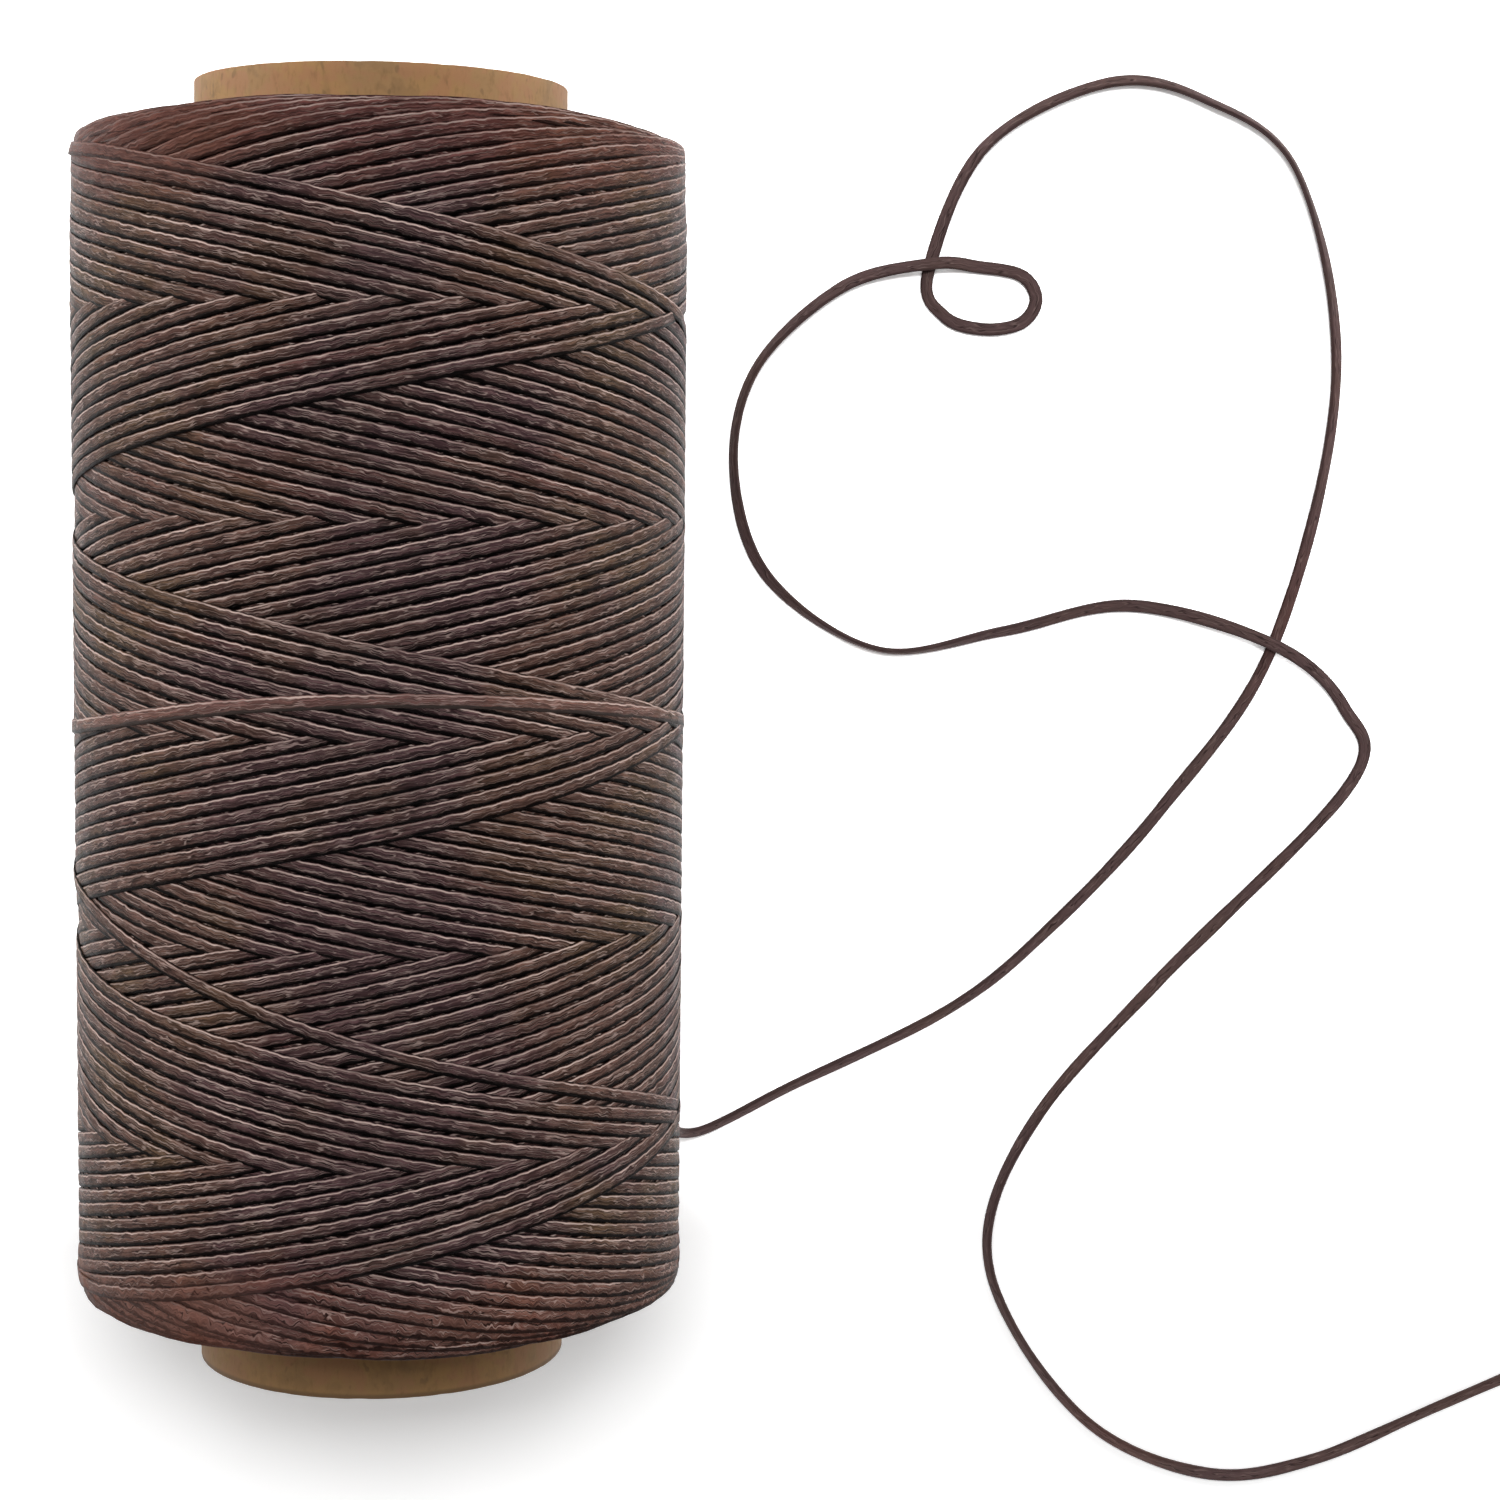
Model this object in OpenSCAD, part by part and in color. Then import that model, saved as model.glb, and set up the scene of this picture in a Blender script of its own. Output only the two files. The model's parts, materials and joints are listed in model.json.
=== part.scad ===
// Waxed thread spool: flat waxed thread, cross-wound on a spiral paper tube.
// The spool lies on its side. +Y runs along the tube to the end with the shorter bare rim,
// +Z is up, and the origin is on the table under the middle of the tube.

/* [Paper tube] */
// Overall length of the tube
tube_len = 120; // [116:1:150]
// Diameter of the bore that goes on a spindle
bore_d = 30; // [24:0.5:36]
// Thickness of the inner liner ply
liner_t = 0.4; // [0.3:0.05:0.8]
// Thickness of the board plies together
board_t = 1.4; // [1:0.1:2.5]
// Thickness of the outer kraft wrap
wrap_t = 0.4; // [0.3:0.05:0.8]
// Glue line between two plies
glue_line = 0.05; // [0.02:0.01:0.1]
// Rounding of the board's rims, worn by handling
rim_wear = 0.3; // [0.1:0.05:0.6]

/* [Winding] */
// Diameter over the wound thread
wind_d = 57; // [48:0.5:70]
// Length of the wound thread along the tube
wind_len = 107.7; // [85:0.1:112]
// Bare tube left at the -Y end
bare_foot = 7.5; // [3:0.5:12]
// Rounding where the winding turns over its ends
wind_edge = 1.2; // [0.5:0.1:3]
// Clearance between the tube and the first layer
core_fit = 0.05; // [0.02:0.01:0.2]

/* [Thread] */
// Width of the flat thread
thread_w = 1.3; // [0.8:0.1:1.6]
// Thickness of the flat thread
thread_t = 0.5; // [0.3:0.05:0.7]
// Out-and-back traverses of the outer turns
traverses = 4; // [2:1:4]
// Gap between two turns where one lies over the other
over_gap = 0.7; // [0.7:0.05:1]
// Clearance between the outer turns and the layers under them
seat_fit = 0.02; // [0.02:0.01:0.2]
// Part of a turn that the thread takes to turn back at an end
turn_back = 0.12; // [0.08:0.01:0.16]
// Height above the winding's -Y end at which the thread leaves it
leave_h = 15; // [10:1:25]

/* [Hidden] */

round_fn = 96;
tube_colour = [0.66, 0.52, 0.32];
rim_colour = [0.55, 0.43, 0.27];
thread_colour = [0.30, 0.22, 0.20];
under_colour = [0.20, 0.14, 0.13];

// Radii of the plies, from the bore out
bore_r = bore_d / 2;
liner_r = bore_r + liner_t;
board_in_r = liner_r + glue_line;
board_r = board_in_r + board_t;
wrap_in_r = board_r + glue_line;
tube_r = wrap_in_r + wrap_t;

// Places along the tube
foot_y = -tube_len / 2;
wind_y = foot_y + bare_foot;

// The outer turns. Each traverse goes up and back in whole_turns less one part in
// traverses, so the next one starts that part of a turn behind it.
whole_turns = 6;
loop_rings = 24;
ring_step = 360 / loop_rings;
traverse_turns = whole_turns - 1 / traverses;
stroke_turns = traverse_turns / 2;
total_turns = traverses * traverse_turns;
wind_r = wind_d / 2;
level_step = thread_t + over_gap;
high_r = wind_r - thread_t / 2;
low_r = high_r - level_step;
under_r = (low_r - thread_t / 2) * cos(ring_step / 2) - seat_fit;

// Two strands cross each time one has gained half a part of a turn on the other
cross_turns = 1 / (2 * traverses);
stroke_len = wind_len - 1.5 * thread_w;
lead = 2 * stroke_len / (traverse_turns - 2 * turn_back);
wind_slope = atan(lead / (2 * PI * high_r));

// The thread leaves the barrel just above its side, on the last stroke down
leave_angle = 90 - ring_step / 2;
rest_cut = thread_w / 10;
axis_z = wind_r * cos(ring_step / 2) - rest_cut;
leave_turns = round((leave_h / lead + turn_back / 2) * loop_rings) / loop_rings;
last_turn = total_turns - leave_turns;
start_angle = leave_angle - 360 * last_turn;

function unit(v) = v / norm(v);
function ease(x) = let (c = max(0, min(1, x))) c * c * (3 - 2 * c);

// Height above the winding's end after v turns of a stroke, rounded where it turns back
function turn_rise(v) = v < turn_back ? lead * v * v / (2 * turn_back) : lead * (v - turn_back / 2);
function stroke_rise(v) =
    v < stroke_turns / 2 ? turn_rise(v) : stroke_len - turn_rise(stroke_turns - v);

// How far a strand stands in the upper level, from 0 to 1. It lies over the strands that
// were wound before it and under those that come after. Along a stroke these come in one run
// per half turn, from over_from to over_to, counted in crossings.
function run_level(v, over_from, over_to) =
    let (n = v / cross_turns,
         a = n - traverses * floor((n - over_from + 1) / traverses))
    min(ease(a - over_from + 1), ease(over_to + 1 - a));
function up_level(i, v) = i == 0 ? 0 : run_level(v, 0, i - 1) * ease(v / cross_turns);
function down_level(j, v) =
    (j == traverses - 1 ? 1 : run_level(v, traverses - 1 - j, traverses - 1))
    * ease((stroke_turns - v) / cross_turns);

// Radius and height along the tube after s turns from the start
function strand_at(s) =
    let (i = min(traverses - 1, floor(s / traverse_turns)),
         u = s - i * traverse_turns,
         up = u < stroke_turns,
         v = up ? u : traverse_turns - u)
    [low_r + level_step * (up ? up_level(i, v) : down_level(i, v)),
     wind_y + (wind_len - stroke_len) / 2 + stroke_rise(v)];

// A point at radius r, height y along the tube and angle a from the top, towards +X
function on_barrel(r, y, a) = [r * sin(a), y, axis_z + r * cos(a)];
function turn_point(s) = let (p = strand_at(s)) on_barrel(p[0], p[1], start_angle + 360 * s);
function turn_heading(s) = let (d = 1 / (8 * loop_rings)) unit(turn_point(s + d) - turn_point(s - d));

// The flat thread's outline, with its width first
turn_outline = [for (k = [0:5]) [cos(60 * k) * thread_w / 2, sin(60 * k) * thread_t / sqrt(3)]];
free_outline = [for (k = [0:7]) let (a = 45 * k + 22.5)
    [cos(a) * thread_w / 2, sin(a) * thread_t / 2] / cos(22.5)];

// A ring of the outline round p, square to heading, with its width along side
function ring(p, heading, side, outline) =
    let (w = unit(side - (side * heading) * heading), n = cross(heading, w))
    [for (q = outline) let (c = p + q[0] * w + q[1] * n) [c[0], c[1], max(0, c[2])]];

turn_count = round(last_turn * loop_rings);
turn_rings = [for (k = [0:turn_count]) let (s = k / loop_rings)
    ring(turn_point(s), turn_heading(s), [0, 1, 0], turn_outline)];

// The least gap of the outer turns to themselves, measured where strands share an angle:
// at every ring and halfway between two
function strand_sample(k) = let (s = k / (2 * loop_rings), whole = k % 2 == 0,
    a = strand_at(whole ? s : s - 0.5 / loop_rings), b = strand_at(whole ? s : s + 0.5 / loop_rings))
    (a + b) / 2;
samples = [for (k = [0:2 * turn_count - 1]) strand_sample(k)];
flat_width = thread_w / cos(wind_slope);
function pair_gap(a, b) = let (r = abs(a[0] - b[0]) - thread_t, y = abs(a[1] - b[1]) - flat_width)
    r > 0 && y > 0 ? norm([r, y]) : max(r, y);
least_gap = min([for (k = [0:len(samples) - 1], m = [k + 2 * loop_rings:2 * loop_rings:len(samples) - 1])
    pair_gap(samples[k], samples[m])]);

// The loose thread's route over the table, laid by hand
flat_z = thread_t / 2;
hump_z = flat_z + thread_t + 0.3;
route = [
    [29.0, -40.8, 18.0], [30.5, -44.6, 4.8], [34.4, -45.3, 0.9], [43.5, -40.9, flat_z],
    [61.0, -32.5, flat_z], [72.0, -23.6, flat_z], [84.0, -10.7, flat_z], [95.8, 6.8, flat_z],
    [102.0, 35.0, flat_z], [97.2, 57.2, flat_z], [86.7, 64.8, flat_z], [76.0, 66.2, flat_z],
    [63.0, 59.2, flat_z], [57.2, 46.0, flat_z], [59.0, 41.5, flat_z], [63.2, 40.2, flat_z],
    [67.3, 40.9, flat_z], [68.9, 43.4, flat_z], [67.3, 45.9, flat_z], [62.8, 46.7, flat_z],
    [57.4, 46.9, hump_z], [48.0, 44.3, flat_z], [39.0, 35.8, flat_z], [36.7, 25.0, flat_z],
    [40.6, 13.6, flat_z], [52.5, 6.2, flat_z], [66.0, 8.2, flat_z], [80.0, 11.0, flat_z],
    [95.8, 6.8, hump_z], [104.0, 0.0, flat_z], [104.8, -8.5, flat_z], [83.5, -30.2, flat_z],
    [70.8, -44.4, flat_z], [65.4, -57.0, flat_z], [68.4, -68.0, flat_z], [78.0, -79.7, flat_z],
    [91.0, -85.2, flat_z], [103.0, -83.9, flat_z], [117.0, -78.3, flat_z], [133.0, -72.0, flat_z]];
route_steps = 2;
leave_point = turn_point(last_turn);
leave_heading = turn_heading(last_turn);
guides = concat([leave_point - 6 * leave_heading, leave_point], route,
    [2 * route[len(route) - 1] - route[len(route) - 2]]);

// A smooth curve through the guides, never under the table
function curve_at(i, t) = let (a = guides[i - 1], b = guides[i], c = guides[i + 1], d = guides[i + 2],
    p = b + (c - a) * t / 2 + (2 * a - 5 * b + 4 * c - d) * t * t / 2
        + (3 * b - 3 * c + d - a) * t * t * t / 2) [p[0], p[1], max(flat_z, p[2])];
free_points = [for (i = [1:len(guides) - 3], k = [0:route_steps - 1]) curve_at(i, k / route_steps)];
free_path = concat(free_points, [route[len(route) - 1]]);

// On the drop the width lies along the tube, and on the table it lies flat
drop_z = 12;
function free_heading(i) = i == 0 ? leave_heading
    : unit(free_path[min(i + 1, len(free_path) - 1)] - free_path[i - 1]);
function free_side(i) = let (h = free_heading(i), drop = ease(free_path[i][2] / drop_z))
    drop * [0, 1, 0] + (1 - drop) * unit([-h[1], h[0], 0]);
free_rings = [for (i = [0:len(free_path) - 1])
    ring(free_path[i], free_heading(i), free_side(i), free_outline)];
function path_length(path) = len(path) < 2 ? 0
    : [for (i = 1, sum = 0; i <= len(path); sum = i < len(path) ? sum + norm(path[i] - path[i - 1]) : sum,
        i = i + 1) sum][len(path) - 1];

// A closed tube of triangles through rings of equal size
module swept(rings) {
    n = len(rings[0]);
    last = len(rings) - 1;
    walls = [for (i = [0:last - 1], k = [0:n - 1])
        let (a = i * n + k, b = i * n + (k + 1) % n) each [[a, a + n, b], [b, a + n, b + n]]];
    caps = [for (k = [1:n - 2]) each [[0, k, k + 1], [last * n, last * n + k + 1, last * n + k]]];
    polyhedron(points = [for (r = rings) each r], faces = concat(walls, caps));
}

// Places a shape that was made round the Z axis round the tube's axis
module along_tube(from_y) {
    translate([0, from_y, axis_z]) rotate([-90, 0, 0]) children();
}

module ply(inner_r, outer_r, edge = 0) {
    along_tube(foot_y) rotate_extrude($fn = round_fn) polygon([
        [inner_r, edge], [inner_r + edge, 0], [outer_r - edge, 0], [outer_r, edge],
        [outer_r, tube_len - edge], [outer_r - edge, tube_len],
        [inner_r + edge, tube_len], [inner_r, tube_len - edge]]);
}

module tube_liner() {
    color(rim_colour) along_tube(foot_y) difference() {
        cylinder(h = tube_len, r = liner_r, $fn = round_fn);
        translate([0, 0, -1]) cylinder(h = tube_len + 2, r = bore_r, $fn = round_fn);
    }
}

module tube_board() { color(rim_colour) ply(board_in_r, board_r, rim_wear); }

module tube_wrap() {
    color(tube_colour) along_tube(foot_y) difference() {
        cylinder(h = tube_len, r = tube_r, $fn = round_fn);
        translate([0, 0, -1]) cylinder(h = tube_len + 2, r = wrap_in_r, $fn = round_fn);
    }
}

module wound_thread() {
    in_r = tube_r + core_fit;
    color(under_colour) along_tube(wind_y) rotate_extrude($fn = round_fn) union() {
        translate([in_r, 0]) square([under_r - wind_edge - in_r, wind_len]);
        translate([in_r, wind_edge]) square([under_r - in_r, wind_len - 2 * wind_edge]);
        for (y = [wind_edge, wind_len - wind_edge])
            translate([under_r - wind_edge, y]) circle(r = wind_edge, $fn = 32);
    }
}

module outer_turns() { color(thread_colour) swept(turn_rings); }

module loose_thread() { color(thread_colour) swept(free_rings); }

echo(least_gap_of_outer_turns = least_gap, outer_turns = last_turn, lead = lead,
    loose_thread_length = path_length(free_path), rings = len(free_rings));

tube_liner();
tube_board();
tube_wrap();
wound_thread();
outer_turns();
loose_thread();
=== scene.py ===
"""A spool of flat waxed thread, cross-wound on a spiral paper tube that lies on its side, with the
thread's loose end laid out on the table. Lengths are in metres and turns are whole turns round the tube.
Angles round the tube are measured from its top towards +X, and the thread always runs that way."""

import json
import math

import bpy
import numpy as np
from mathutils import Matrix, Vector


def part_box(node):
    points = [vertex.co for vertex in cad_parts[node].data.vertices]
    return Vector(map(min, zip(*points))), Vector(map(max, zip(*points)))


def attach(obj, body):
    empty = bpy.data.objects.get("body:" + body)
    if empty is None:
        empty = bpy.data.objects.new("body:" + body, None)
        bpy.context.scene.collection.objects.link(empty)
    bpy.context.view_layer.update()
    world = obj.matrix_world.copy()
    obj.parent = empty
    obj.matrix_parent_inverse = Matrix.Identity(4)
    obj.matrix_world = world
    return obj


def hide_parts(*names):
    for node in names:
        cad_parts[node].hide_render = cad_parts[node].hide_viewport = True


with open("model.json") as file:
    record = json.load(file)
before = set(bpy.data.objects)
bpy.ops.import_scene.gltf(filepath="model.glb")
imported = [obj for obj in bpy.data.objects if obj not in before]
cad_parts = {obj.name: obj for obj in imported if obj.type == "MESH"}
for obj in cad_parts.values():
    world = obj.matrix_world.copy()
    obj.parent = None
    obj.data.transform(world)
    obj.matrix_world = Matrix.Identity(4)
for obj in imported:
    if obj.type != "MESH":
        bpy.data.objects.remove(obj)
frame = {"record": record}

bl_info = {
    "name": "Waxed Thread Spool",
    "version": (1, 0, 0),
    "blender": (4, 5, 0),
    "location": "View3D > Sidebar > Spool",
    "description": "Winds and finishes a spool of flat waxed thread on its paper tube",
    "category": "Object",
}

MM = 0.001
FULL_TURN = 2 * math.pi
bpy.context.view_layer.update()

# Sizes and places of the frame
LINER_LOW, LINER_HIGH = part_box("tube_liner")
BOARD_LOW, BOARD_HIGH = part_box("tube_board")
WRAP_LOW, WRAP_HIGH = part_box("tube_wrap")
PACK_LOW, PACK_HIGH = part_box("wound_thread")
LINER_R = (LINER_HIGH.x - LINER_LOW.x) / 2
BOARD_R = (BOARD_HIGH.x - BOARD_LOW.x) / 2
TUBE_R = (WRAP_HIGH.x - WRAP_LOW.x) / 2
PACK_R = (PACK_HIGH.x - PACK_LOW.x) / 2
AXIS_Z = (WRAP_LOW.z + WRAP_HIGH.z) / 2
FOOT_Y, HEAD_Y = WRAP_LOW.y, WRAP_HIGH.y
PACK_FOOT_Y, PACK_HEAD_Y = PACK_LOW.y, PACK_HIGH.y
BORE_R = frame["record"]["mounts"][0]["dims"]["r_mm"] * MM
GLUE_LINE = 0.05 * MM

# The camera, which looks down on the spool
LENS, SENSOR = 70.35, 36  # in millimetres, as lenses are
CAMERA_PLACE = Vector((0, 22.58 * MM, AXIS_Z + 280.31 * MM))
CAMERA_YAW, CAMERA_PITCH, CAMERA_ROLL = (math.radians(angle) for angle in (7.171, -4.999, 0.599))

# The cross winding. A cycle goes up the tube and back, and ends one part in CYCLES of a turn
# past a whole number of turns, so each cycle lies one thread's pitch beside the one before it.
CYCLES = 28
CYCLE_TURNS = 6 + 1 / CYCLES
STROKE_TURNS = CYCLE_TURNS / 2
END_MARGIN = 0.6 * MM  # from a pack's end to the middle of the strand that turns back there
FOOT_BEND, HEAD_BEND = 0.179, 0.163  # part of a turn that the thread takes to turn back, each way
TURN_Y_LOW, TURN_Y_HIGH = PACK_FOOT_Y + END_MARGIN, PACK_HEAD_Y - END_MARGIN
LEAD = (TURN_Y_HIGH - TURN_Y_LOW) / (STROKE_TURNS - (FOOT_BEND + HEAD_BEND) / 2)
STROKE_LOW = TURN_Y_LOW - LEAD * FOOT_BEND / 2
STROKE_HIGH = TURN_Y_HIGH + LEAD * HEAD_BEND / 2
START_ANGLE = math.radians(-104)
SEED = 11

# The relief on which the turns are laid: the pack's radius on a grid of angle and height
COLUMNS = 1400
STROKE_SAMPLES = round(COLUMNS * STROKE_TURNS)
RING_SAMPLES = 20  # samples between two rings of a turn's mesh
ROW = 0.1 * MM
ROWS_BEYOND = 2 * MM  # how far the grid goes past each end of the pack
ROWS_LOW = PACK_FOOT_Y - ROWS_BEYOND
ROW_COUNT = round((PACK_HEAD_Y - PACK_FOOT_Y + 2 * ROWS_BEYOND) / ROW)
HALF_STRAND = 6  # rows that a strand covers each way from its middle
WOUND_PIECES = 7

# The last turns, which no later turn holds down: turns after the last time the thread turned back
# at the pack's foot, and the height along the tube that it has there, in millimetres
LAST_STRAIGHT = 1.40
LAST_ROUTE = [
    (1.49, 1.0), (1.62, 2.2), (1.80, 1.2), (1.95, -0.4), (2.089, 0.5), (2.156, 2.6), (2.222, 4.25),
    (2.267, 4.8), (2.311, 4.8), (2.356, 4.45), (2.400, 3.65), (2.467, 2.3), (2.511, 1.0), (2.70, -2.6),
    (2.90, -8.2), (3.08, -14.0), (3.144, -17.4), (3.191, -20.6), (3.222, -22.4), (3.256, -24.3),
    (3.289, -26.2), (3.322, -27.7), (3.367, -29.5), (3.400, -30.8), (3.433, -32.3), (3.467, -33.9),
    (3.518, -36.2),
]
LAST_TURNS = LAST_ROUTE[-1][0]
RED_STRETCH = (381, 450)  # millimetres along the last turns, between which they are redder

# The loose thread's route over the table, in millimetres, as the frame lays it
FLAT = 0.25  # height of the thread's middle where it lies on the table
HUMP = 1.05  # and where it passes over itself
LOOSE_ROUTE = [
    (29.0, -40.8, 18.0), (30.5, -44.6, 4.8), (34.4, -45.3, 0.9), (43.5, -40.9, FLAT),
    (61.0, -32.5, FLAT), (72.0, -23.6, FLAT), (84.0, -10.7, FLAT), (95.8, 6.8, FLAT),
    (102.0, 35.0, FLAT), (97.2, 57.2, FLAT), (86.7, 64.8, FLAT), (76.0, 66.2, FLAT),
    (63.0, 59.2, FLAT), (57.2, 46.0, FLAT), (59.0, 41.5, FLAT), (63.2, 40.2, FLAT),
    (67.3, 40.9, FLAT), (68.9, 43.4, FLAT), (67.3, 45.9, FLAT), (62.8, 46.7, FLAT),
    (57.4, 46.9, HUMP), (48.0, 44.3, FLAT), (39.0, 35.8, FLAT), (36.7, 25.0, FLAT),
    (40.6, 13.6, FLAT), (52.5, 6.2, FLAT), (66.0, 8.2, FLAT), (80.0, 11.0, FLAT),
    (95.8, 6.8, HUMP), (104.0, 0.0, FLAT), (104.8, -8.5, FLAT), (83.5, -30.2, FLAT),
    (70.8, -44.4, FLAT), (65.4, -57.0, FLAT), (68.4, -68.0, FLAT), (78.0, -79.7, FLAT),
    (91.0, -85.2, FLAT), (103.0, -83.9, FLAT), (117.0, -78.3, FLAT), (133.0, -72.0, FLAT),
]
# How far the loose thread tilts onto its edge: millimetres along it and degrees
LOOSE_TILTS = [
    (0, 0), (36, 40), (56, 35), (80, 22), (92, 0), (122, 0), (138, 36), (152, 28), (168, 61), (178, 50),
    (192, 33), (208, 57), (224, 5), (248, 0), (262, 34), (272, 70), (282, 71), (290, 55), (296, 28),
    (312, 86), (320, 67), (328, 36), (352, 0), (386, 0), (432, 57), (456, 66), (472, 32), (484, 0),
    (500, 6), (507, 38), (520, 20),
]


def linear(red, green, blue):
    """A colour given in 0 to 255 as it is seen, as the linear values that a shader takes."""
    seen = [channel / 255 for channel in (red, green, blue)]
    return [c / 12.92 if c <= 0.04045 else ((c + 0.055) / 1.055) ** 2.4 for c in seen]


def tinted(colour, red, green, blue):
    """A colour whose channels are each multiplied by a number of their own."""
    return [min(1, channel * gain) for channel, gain in zip(colour, (red, green, blue))]


# ---------------------------------------------------------------- settings


def length_setting(name, description, default):
    return bpy.props.FloatProperty(
        name=name, description=description, default=default, unit="LENGTH", precision=5
    )


def colour_setting(name, description, *seen):
    return bpy.props.FloatVectorProperty(
        name=name, description=description, default=linear(*seen), subtype="COLOR", size=3
    )


def power_setting(name, description, default):
    return bpy.props.FloatProperty(name=name, description=description, default=default, unit="POWER")


class ThreadSettings(bpy.types.PropertyGroup):
    width: length_setting("Width", "Width of the flat thread", 1.27 * MM)
    thickness: length_setting("Thickness", "Thickness of the flat thread", 0.5 * MM)
    pressed: length_setting(
        "Pressed thickness", "Thickness to which the winding presses the thread", 0.25 * MM
    )
    loose_width: length_setting(
        "Loose width", "Width of the thread's loose end, which the winding no longer flattens", 1.35 * MM
    )
    base_radius: length_setting(
        "Base radius",
        "Radius of the pack under the newest turn before the last layers are wound",
        28.33 * MM,
    )
    brown: colour_setting("Brown", "Main colour of the thread", 93, 68, 60)
    plum: colour_setting("Plum", "Cooler patches of the thread", 80, 58, 60)
    olive: colour_setting("Olive", "Yellower patches of the thread", 92, 71, 50)
    russet: colour_setting("Russet", "Redder stretches near the ends", 106, 60, 51)
    loose: colour_setting("Loose", "Plain colour of the loose end", 94, 76, 74)
    # The fleck colour also paints the highlight along each strand's head-side edge and on the folds' crests
    fleck_and_highlight: colour_setting("Fleck", "Pale fibres that stand out of the wax", 194, 171, 162)


class TubeSettings(bpy.types.PropertyGroup):
    kraft: colour_setting("Kraft", "Colour of the outer wrap", 141, 107, 67)
    board: colour_setting("Board", "Colour of the cut board", 160, 127, 90)
    liner: colour_setting("Liner", "Colour of the inner liner", 156, 125, 90)


class StageSettings(bpy.types.PropertyGroup):
    key_power: power_setting("Key light", "Power of the soft light beyond the tube's head", 5.4)
    low_power: power_setting("Low light", "Power of the low light beyond the tube's head", 2.6)
    side_power: power_setting("Side lights", "Power of each soft light beside the spool", 1.05)
    foot_power: power_setting("Foot light", "Power of the low light before the tube's foot", 1.3)
    room: bpy.props.FloatProperty(
        name="Room light", description="Strength of the even light all round", default=0.22, min=0, max=2
    )


# ---------------------------------------------------------------- shader helpers

# Sockets of a Mix node that mixes colours
FIRST_COLOUR, SECOND_COLOUR, MIXED_COLOUR = 6, 7, 2


class Flow:
    """A value, colour or vector on its way through the nodes of a finish."""

    def __init__(self, finish, socket):
        self.finish = finish
        self.socket = socket

    def maths(self, operation, first, second):
        return self.finish.node("ShaderNodeMath", {"operation": operation}, {0: first, 1: second})

    def __add__(self, other):
        return self.maths("ADD", self, other)

    def __radd__(self, other):
        return self.maths("ADD", other, self)

    def __sub__(self, other):
        return self.maths("SUBTRACT", self, other)

    def __rsub__(self, other):
        return self.maths("SUBTRACT", other, self)

    def __mul__(self, other):
        return self.maths("MULTIPLY", self, other)

    def __rmul__(self, other):
        return self.maths("MULTIPLY", other, self)

    def __abs__(self):
        return self.maths("ABSOLUTE", self, 0)

    def output(self, name):
        """Another output of the node that this value comes from."""
        return Flow(self.finish, self.socket.node.outputs[name])


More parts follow.
